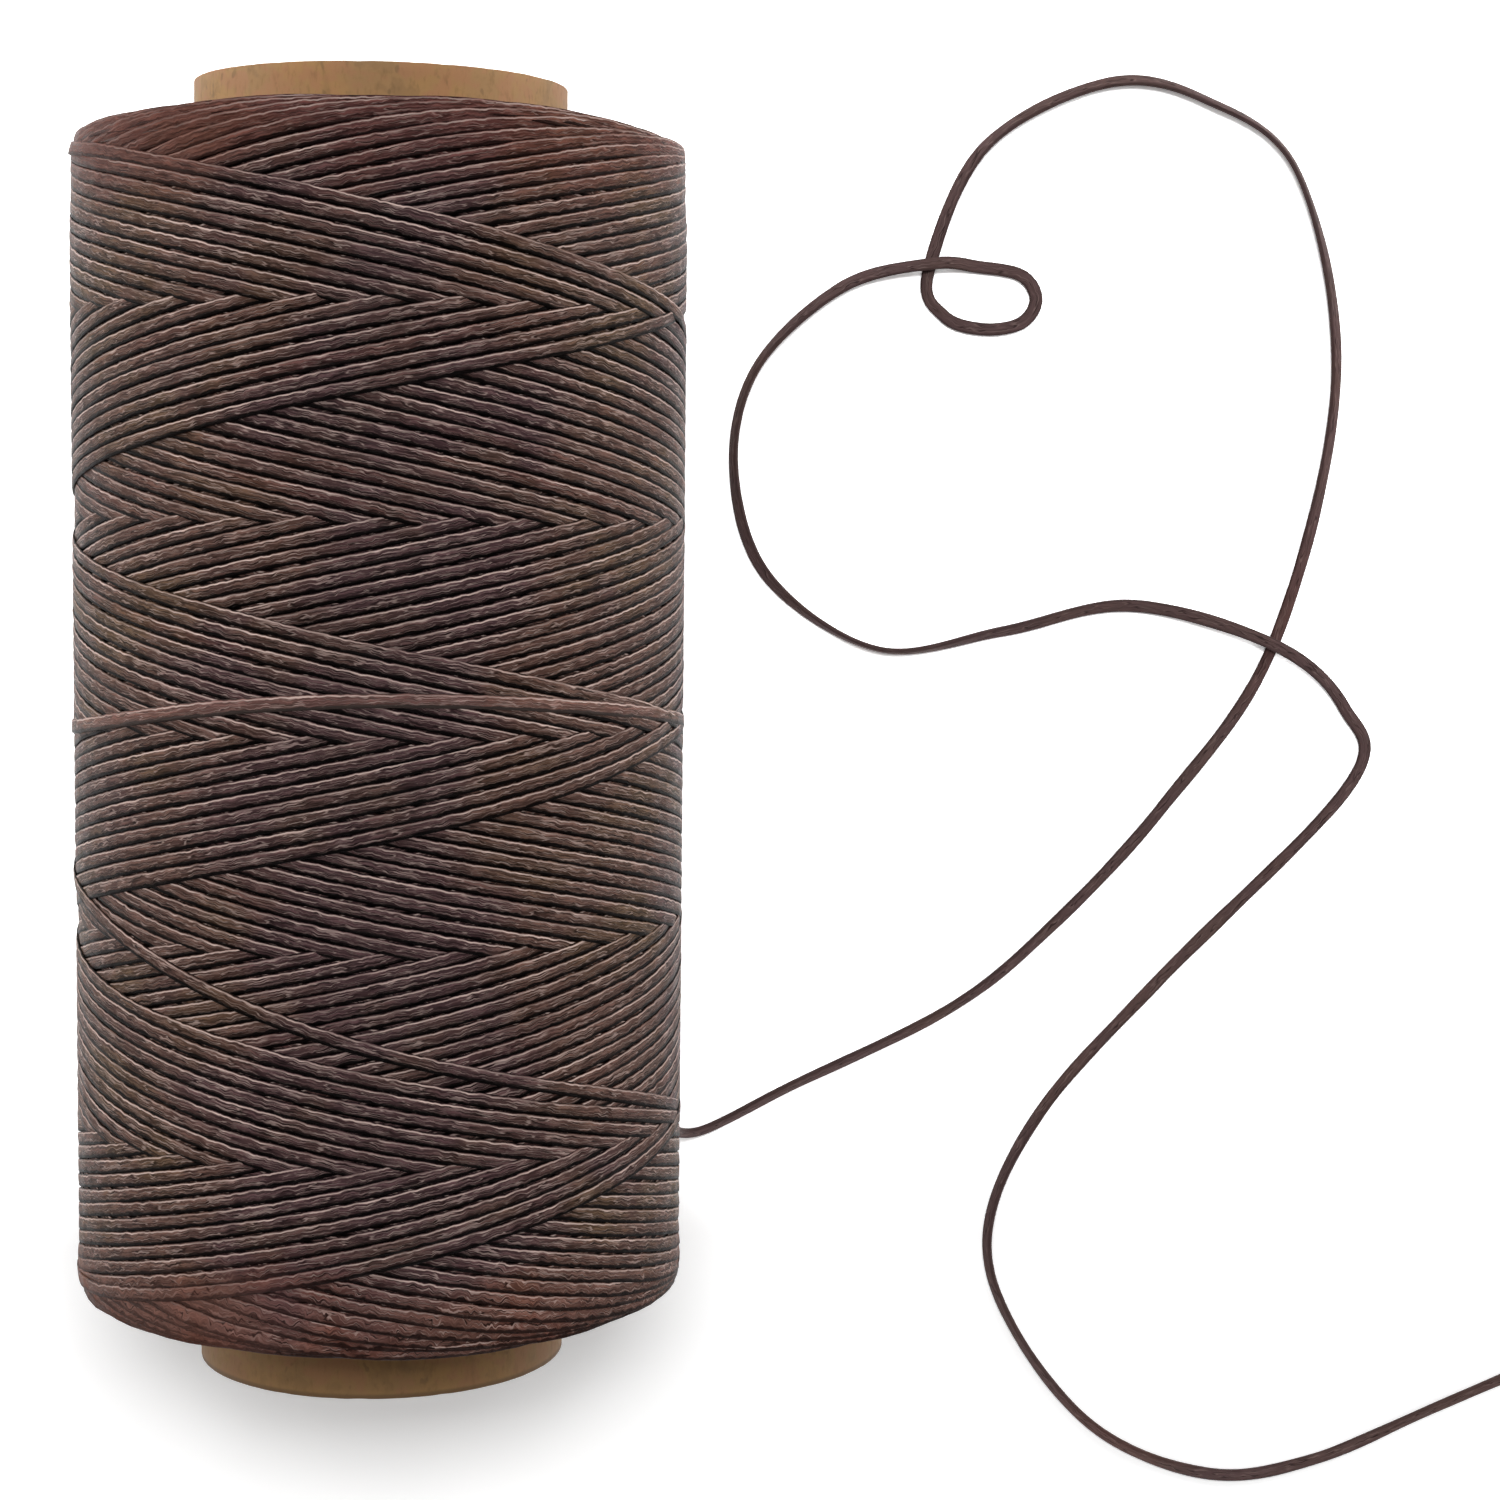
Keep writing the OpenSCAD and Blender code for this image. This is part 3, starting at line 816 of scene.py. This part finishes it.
def wind_pack(settings):
    """Winds all the turns that show. Returns the rings of the cross winding and of the last turns,
    and the line of the last turns."""
    rng = np.random.default_rng(SEED)
    pack = Pack(settings.base_radius, settings.pressed)

    samples = np.arange(2 * CYCLES * STROKE_SAMPLES)
    turns = samples / COLUMNS
    heights = wound_heights(turns, rng)
    heights += drift(turns, rng, 0.07 * MM, (0.11, 0.27, 0.63, 1.9, 5.3)) * pack.squeeze(heights)
    heights += end_waves(heights, START_ANGLE + FULL_TURN * turns)
    # The ceiling over the turns rises by two thicknesses while they are wound
    spare = 0.04 * MM
    grown = settings.pressed * (2 * samples / samples[-1] - 1) + spare
    ceiling = settings.base_radius + grown
    wound, _ = turn_rings(pack, samples, heights, ceiling, 0 * grown, settings.width, rng)

    last_count = round(LAST_TURNS * COLUMNS / RING_SAMPLES) * RING_SAMPLES + 1
    last_samples = samples[-1] + 1 + np.arange(last_count)
    last_turns = (last_samples - last_samples[0]) / COLUMNS
    last_y = last_heights(last_turns)
    ceiling = np.full(last_count, settings.base_radius + 1.4 * settings.pressed)
    # The last turns sink a little into the pack, and deeper over their last tenth of a turn
    sinks = (0.08 + 0.27 * np.clip((last_turns - LAST_TURNS) / 0.1 + 1, 0, 1) ** 2) * MM
    last, line = turn_rings(pack, last_samples, last_y, ceiling, sinks, settings.width * 1.04, rng)
    wound = np.concatenate([wound, last[:1]])
    return wound, last, line


def smooth_curve(guides, steps):
    """A smooth line through the guides, from the second to the last but one, with so many steps
    between two guides."""
    a, b, c, d = guides[:-3], guides[1:-2], guides[2:-1], guides[3:]
    shares = np.arange(steps)[:, None, None] / steps
    curve = b + (c - a) * shares / 2 + (2 * a - 5 * b + 4 * c - d) * shares**2 / 2
    curve = curve + (3 * b - 3 * c + d - a) * shares**3 / 2
    return np.concatenate([curve.transpose(1, 0, 2).reshape(-1, 3), guides[-2:-1]])


# ---------------------------------------------------------------- operators


class SPOOL_OT_camera(bpy.types.Operator):
    """Set the camera that looks down on the spool"""

    bl_idname = "spool.camera"
    bl_label = "Camera"

    def execute(self, context):
        data = bpy.data.cameras.new("camera")
        data.lens = LENS
        data.sensor_width = SENSOR
        data.clip_start = 0.01
        level = math.cos(CAMERA_PITCH)
        ahead = Vector(
            (math.sin(CAMERA_YAW) * level, math.sin(CAMERA_PITCH), -math.cos(CAMERA_YAW) * level)
        )
        right = ahead.cross(Vector((0, 1, 0))).normalized()
        up = right.cross(ahead)
        cosine, sine = math.cos(CAMERA_ROLL), math.sin(CAMERA_ROLL)
        right, up = right * cosine + up * sine, up * cosine - right * sine
        turn = Matrix((right, up, -ahead)).transposed()
        camera = bpy.data.objects.new("camera", data)
        camera.matrix_world = Matrix.Translation(CAMERA_PLACE) @ turn.to_4x4()
        context.scene.collection.objects.link(camera)
        context.scene.camera = camera
        return {"FINISHED"}


class SPOOL_OT_turns(bpy.types.Operator):
    """Wind the turns that show, and lay out the thread's loose end"""

    bl_idname = "spool.turns"
    bl_label = "Wound and Loose Thread"

    def execute(self, context):
        settings = context.scene.spool_thread
        wound, last, line = wind_pack(settings)
        finish = ThreadFinish("waxed_thread", settings).material()
        per_piece = (len(wound) - 1) // WOUND_PIECES
        for number in range(WOUND_PIECES):
            rings = wound[number * per_piece : (number + 1) * per_piece + 1]
            add_thread(f"wound_turns_{number + 1}", rings, 34, finish, "outer_turns", "outer_turns")
        finish = ThreadFinish("waxed_thread_last", settings, red_stretch=RED_STRETCH).material()
        add_thread("last_turns", last, 15, finish, "outer_turns", "outer_turns")
        self.lay_out(settings, line)
        return {"FINISHED"}

    def lay_out(self, settings, line):
        """The loose end, from where the last turn leaves the pack to its cut end on the table."""
        leave = line[-1]
        heading = unit(line[-1] - line[-2])
        route = np.array(LOOSE_ROUTE) * MM
        # The guides before the first and after the last point set the line's direction there
        guides = np.concatenate([[leave - 6 * MM * heading, leave], route, [2 * route[-1] - route[-2]]])
        fine = smooth_curve(guides, 24)
        length = distances(fine)
        ring_spacing = 0.6 * MM
        places = np.linspace(0, length[-1], round(length[-1] / ring_spacing))
        path = np.stack([np.interp(places, length, fine[:, k]) for k in range(3)], -1)
        rings = self.loose_rings(settings, path, places)
        finish = ThreadFinish("loose_waxed_thread", settings, in_pack=False).material()
        piece = add_thread("loose_waxed_thread", rings, 12, finish, "loose_thread", "loose_thread")

    def loose_rings(self, settings, path, places):
        """Rings round the loose end's path, whose points lie at the places along it. The path is
        lifted where the thread, tilted onto its edge, would go through the table."""
        rng = np.random.default_rng(SEED + 1)
        heading = unit(np.gradient(path, axis=0))
        flat_side = unit(np.stack([-heading[:, 1], heading[:, 0], 0 * places], -1))
        # The thread leaves the pack with its width along the tube, and turns flat on its way down
        drop = np.clip(path[:, 2] / (12 * MM), 0, 1)[:, None]
        drop = drop * drop * (3 - 2 * drop)
        sides = drop * np.array([0.0, 1.0, 0.0]) + (1 - drop) * flat_side
        freed = np.clip(places / (50 * MM), 0, 1)
        tilted, tilts = np.array(LOOSE_TILTS).T
        rolls = smoothed(np.interp(places / MM, tilted, np.radians(tilts)), 5)
        rolls += freed * drift(places / (60 * MM), rng, math.radians(6), (1.0, 2.3, 0.61))
        widths = settings.loose_width * (1 + drift(places / (10 * MM), rng, 0.04, (1.0, 2.7)))
        thicknesses = np.full(len(places), settings.thickness * 1.1)
        rise = np.hypot(np.sin(rolls) * widths / 2, np.cos(rolls) * thicknesses / 2)
        path[:, 2] = np.maximum(path[:, 2], rise)
        to_end = np.clip((places[-1] - places) / (0.5 * MM), 0, 1)
        rounded = 0.35 + 0.65 * np.sqrt(1 - (1 - to_end) ** 2)
        return thread_rings(path, sides, widths * rounded, thicknesses * rounded, rolls)


class SPOOL_OT_core(bpy.types.Operator):
    """Make the pack's inner layers, whose turned-back strands show on its end faces"""

    bl_idname = "spool.core"
    bl_label = "Inner Layers"

    def execute(self, context):
        settings = context.scene.spool_thread
        around, rows = 480, 96
        inner, outer = TUBE_R + 0.05 * MM, settings.base_radius - 0.1 * MM
        angle = FULL_TURN * np.arange(around) / around
        radii = np.linspace(outer, inner, rows)
        foot = PACK_FOOT_Y + self.face_depth(radii, angle, FOOT_BEND, 0.0)
        head = PACK_HEAD_Y - self.face_depth(radii, angle, HEAD_BEND, STROKE_TURNS)
        outward = ((radii - inner) / (outer - inner))[:, None] ** 2
        foot += outward * end_waves(PACK_FOOT_Y, angle)
        head += outward * end_waves(PACK_HEAD_Y, angle)

        # Loops from the tube over the foot's face to the barrel, which the wound turns hide, and
        # over the head's face back to the tube: a radius and a height each
        lip = 0.4 * MM
        corner_depth = 0.6 * MM
        barrel = settings.base_radius - 2.2 * settings.pressed
        shoulder = [(outer - lip, 1.6 * MM), (barrel, 2.4 * MM)]
        loops = [(inner, PACK_FOOT_Y + corner_depth)]
        loops += list(zip(radii[::-1], foot[::-1]))
        loops += [(radius, PACK_FOOT_Y + depth) for radius, depth in shoulder]
        loops += [(radius, PACK_HEAD_Y - depth) for radius, depth in shoulder[::-1]]
        loops += list(zip(radii, head))
        loops += [(inner, PACK_HEAD_Y - corner_depth)]
        radius = np.array([radius for radius, _ in loops])[:, None]
        height = np.stack([np.broadcast_to(height, around) for _, height in loops])
        points = around_axis(radius, height, angle)
        points[..., 2] = np.maximum(points[..., 2], 0)
        faces = grid_faces(len(loops), around, closed_rings=True)[:, ::-1].tolist()
        finish = core_finish(settings)
        add_piece("inner_layers", points.reshape(-1, 3), faces, finish, "wound_thread", "wound_thread")
        return {"FINISHED"}

    def face_depth(self, radii, angle, bend, first_turn):
        """Depth of an end face under the pack's end. Each strand that turns back there reaches the
        end for a short arc, and the next one lies a little further out and further round."""
        deepest = 2.0 * MM
        thickness = 0.42 * MM
        edge_depth = 0.35 * MM  # how much deeper a strand's rounded edges lie than its middle
        edge_power = 2.4
        depth = np.full((len(radii), len(angle)), deepest)
        rise = 2 * thickness / CYCLES
        count = int((radii[0] - radii[-1]) / rise) + 2
        rng = np.random.default_rng(SEED + 2)
        for cycle in range(count):
            radius = radii[-1] + rise * cycle
            rows = np.nonzero(abs(radii - radius) < thickness / 2)[0]
            middle = START_ANGLE + FULL_TURN * (first_turn + cycle / CYCLES) + rng.normal(0, 0.06)
            away = (angle - middle + math.pi) % FULL_TURN - math.pi
            turns = abs(away) / FULL_TURN
            near = np.nonzero(turns < 2 * bend)[0]
            turns = turns[near]
            bow = np.where(turns < bend, LEAD * turns**2 / (2 * bend), LEAD * (turns - bend / 2))
            across = abs(radii[rows] - radius) / (thickness / 2)
            edge = edge_depth * (1 - (1 - np.minimum(across, 1) ** edge_power) ** (1 / edge_power))
            reach = bow[None, :] + edge[:, None] + rng.uniform(0, 0.3) * MM
            block = np.ix_(rows, near)
            depth[block] = np.minimum(depth[block], reach)
        return depth


class SPOOL_OT_tube(bpy.types.Operator):
    """Make the paper tube's plies"""

    bl_idname = "spool.tube"
    bl_label = "Paper Tube"

    def execute(self, context):
        settings = context.scene.spool_tube
        kraft = kraft_finish(settings)
        board = board_finish("cut_board", settings.board)
        liner = board_finish("liner_board", settings.liner)
        board_inner = LINER_R + GLUE_LINE
        grooves = [board_inner + (BOARD_R - board_inner) * share for share in (0.26, 0.5, 0.75)]
        self.add_ply("kraft_wrap", BOARD_R + GLUE_LINE, TUBE_R, 0.1 * MM, [], kraft, "tube_wrap")
        self.add_ply("board_plies", board_inner, BOARD_R, 0.25 * MM, grooves, board, "tube_board")
        self.add_ply("inner_liner", BORE_R, LINER_R, 0.1 * MM, [], liner, "tube_liner")
        return {"FINISHED"}

    def add_ply(self, name, inner, outer, wear, grooves, finish, node):
        """A ply of the tube, with rims rounded by wear, a groove between two layers of board, and a spiral
        seam.
        """
        around = 360
        profile = np.array(self.ply_profile(inner, outer, wear, grooves))
        angle = (FULL_TURN * np.arange(around) / around)[:, None]
        radius, height = self.handled(profile[None, :, 0], profile[None, :, 1], angle, inner, outer)
        points = around_axis(radius, height, angle)
        faces = grid_faces(around, len(profile), closed_rings=True)[:, ::-1].tolist()
        add_piece(name, points.reshape(-1, 3), faces, finish, node, node)

    def ply_profile(self, inner, outer, wear, grooves):
        """A ply's section as radii and heights: over the foot's rim, up the outside, over the head's
        rim and down the bore. Its sides have more points near the rims, which handling bends."""
        wear_and_highlight = [(1 - math.cos(angle), 1 - math.sin(angle)) for angle in np.radians([0, 30, 60, 90])]
        rim = [(inner + wear * inward, wear * down) for inward, down in wear_and_highlight]
        half_width, groove_depth = 0.045 * MM, 0.16 * MM
        for groove in grooves:
            rim += [(groove - half_width, 0.0), (groove, groove_depth), (groove + half_width, 0.0)]
        rim += [(outer - wear * down, wear * inward) for inward, down in wear_and_highlight]
        bent, steps = 12 * MM, 14
        depths = [wear + bent * k / steps for k in range(1, steps + 1)]
        foot_rim = [(radius, FOOT_Y + depth) for radius, depth in rim]
        head_rim = [(radius, HEAD_Y - depth) for radius, depth in rim[::-1]]
        up = [FOOT_Y + depth for depth in depths] + [HEAD_Y - depth for depth in depths[::-1]]
        outside = [(outer, height) for height in up]
        bore = [(inner, height) for height in up[::-1]]
        return foot_rim + outside + head_rim + bore

    def handled(self, radius, height, angle, inner, outer):
        """Small dents and flares that handling gives a tube's rims, and the step at the spiral seam."""
        to_end = np.minimum(height - FOOT_Y, HEAD_Y - height)
        near_end = np.exp(-to_end / (1.8 * MM))
        flare, dent = 0.03 * MM, 0.05 * MM
        waves = sum(np.sin(k * angle + 1.7 * k * k) / k for k in (5, 9, 14, 23, 37))
        nicks = sum(np.cos(k * angle + 0.9 * k * k) for k in (11, 17, 29, 43)) / 4
        radius = radius + flare * near_end * waves
        height = height + np.sign(-height) * dent * near_end * np.clip(nicks, 0, 1)
        seam_lead, seam_width, seam_step = 150 * MM, 0.02, 0.07 * MM
        past_seam = (angle / FULL_TURN - height / seam_lead) % 1
        step = seam_step * (past_seam < seam_width) * (1 - past_seam / seam_width)
        on_outside = radius > (inner + outer) / 2
        return radius - step * on_outside, height


class SPOOL_OT_stage(bpy.types.Operator):
    """Set the table, the soft lights and the even light of the room"""

    bl_idname = "spool.stage"
    bl_label = "Stage"

    # Each light's place and size in metres, and the setting that holds its power
    LIGHTS = {
        "key_light": ((-0.02, 0.37, 0.92), (0.45, 0.23), "key_power"),
        "low_light": ((-0.05, 0.8, 0.38), (0.6, 0.2), "low_power"),
        "left_light": ((-0.4, 0.14, 0.07), (0.3, 0.1), "side_power"),
        "foot_light": ((0, -0.5, 0.07), (0.4, 0.1), "foot_power"),
        "right_light": ((0.4, 0.14, 0.07), (0.3, 0.1), "side_power"),
    }

    def execute(self, context):
        scene = context.scene
        settings = scene.spool_stage
        self.add_table(scene)
        for name, (place, size, power) in self.LIGHTS.items():
            self.add_light(scene, name, Vector(place), size, getattr(settings, power))
        self.light_room(scene, settings.room)
        scene.view_settings.view_transform = "Standard"
        return {"FINISHED"}

    def add_table(self, scene):
        """A square of white paper, a hair under the spool."""
        half = 1.5
        under = -0.01 * MM
        corners = [(-half, -half, under), (half, -half, under), (half, half, under), (-half, half, under)]
        mesh = bpy.data.meshes.new("table")
        mesh.from_pydata(corners, [], [(0, 1, 2, 3)])
        mesh.materials.append(floor_finish())
        table = bpy.data.objects.new("table", mesh)
        scene.collection.objects.link(table)

    def add_light(self, scene, name, place, size, power):
        """A soft rectangular light that faces the spool's middle."""
        data = bpy.data.lights.new(name, "AREA")
        data.shape = "RECTANGLE"
        data.size, data.size_y = size
        data.energy = power
        light = bpy.data.objects.new(name, data)
        to_spool = Vector((0, 0, AXIS_Z)) - place
        turn = to_spool.to_track_quat("-Z", "Y").to_matrix()
        light.matrix_world = Matrix.Translation(place) @ turn.to_4x4()
        scene.collection.objects.link(light)

    def light_room(self, scene, strength):
        """Even light all round, which the camera sees as white."""
        finish = Finish(bpy.data.worlds.new("room"), "ShaderNodeOutputWorld")
        light, white = (
            finish.node("ShaderNodeBackground", {}, {"Color": (1, 1, 1, 1), "Strength": level})
            for level in (strength, 1.0)
        )
        to_camera = finish.node("ShaderNodeLightPath").output("Is Camera Ray")
        scene.world = finish.use(finish.blended(to_camera, light, white))


class SPOOL_PT_panel(bpy.types.Panel):
    """The spool's pieces, in the order in which they are made"""

    bl_label = "Waxed Thread Spool"
    bl_idname = "SPOOL_PT_panel"
    bl_space_type = "VIEW_3D"
    bl_region_type = "UI"
    bl_category = "Spool"

    def draw(self, context):
        for operator in OPERATORS:
            self.layout.operator(operator.bl_idname)
        for group in GROUPS:
            box = self.layout.box()
            settings = getattr(context.scene, group)
            for name in GROUPS[group].__annotations__:
                box.prop(settings, name)


OPERATORS = [SPOOL_OT_camera, SPOOL_OT_turns, SPOOL_OT_core, SPOOL_OT_tube, SPOOL_OT_stage]
GROUPS = {"spool_thread": ThreadSettings, "spool_tube": TubeSettings, "spool_stage": StageSettings}


def register():
    for kind in [*GROUPS.values(), *OPERATORS, SPOOL_PT_panel]:
        bpy.utils.register_class(kind)
    for name, kind in GROUPS.items():
        setattr(bpy.types.Scene, name, bpy.props.PointerProperty(type=kind))


def unregister():
    for name in GROUPS:
        delattr(bpy.types.Scene, name)
    for kind in [SPOOL_PT_panel, *OPERATORS, *GROUPS.values()]:
        bpy.utils.unregister_class(kind)


def main():
    register()
    bpy.ops.spool.camera()
    bpy.ops.spool.turns()
    bpy.ops.spool.core()
    bpy.ops.spool.tube()
    bpy.ops.spool.stage()


if __name__ == "__main__":
    main()
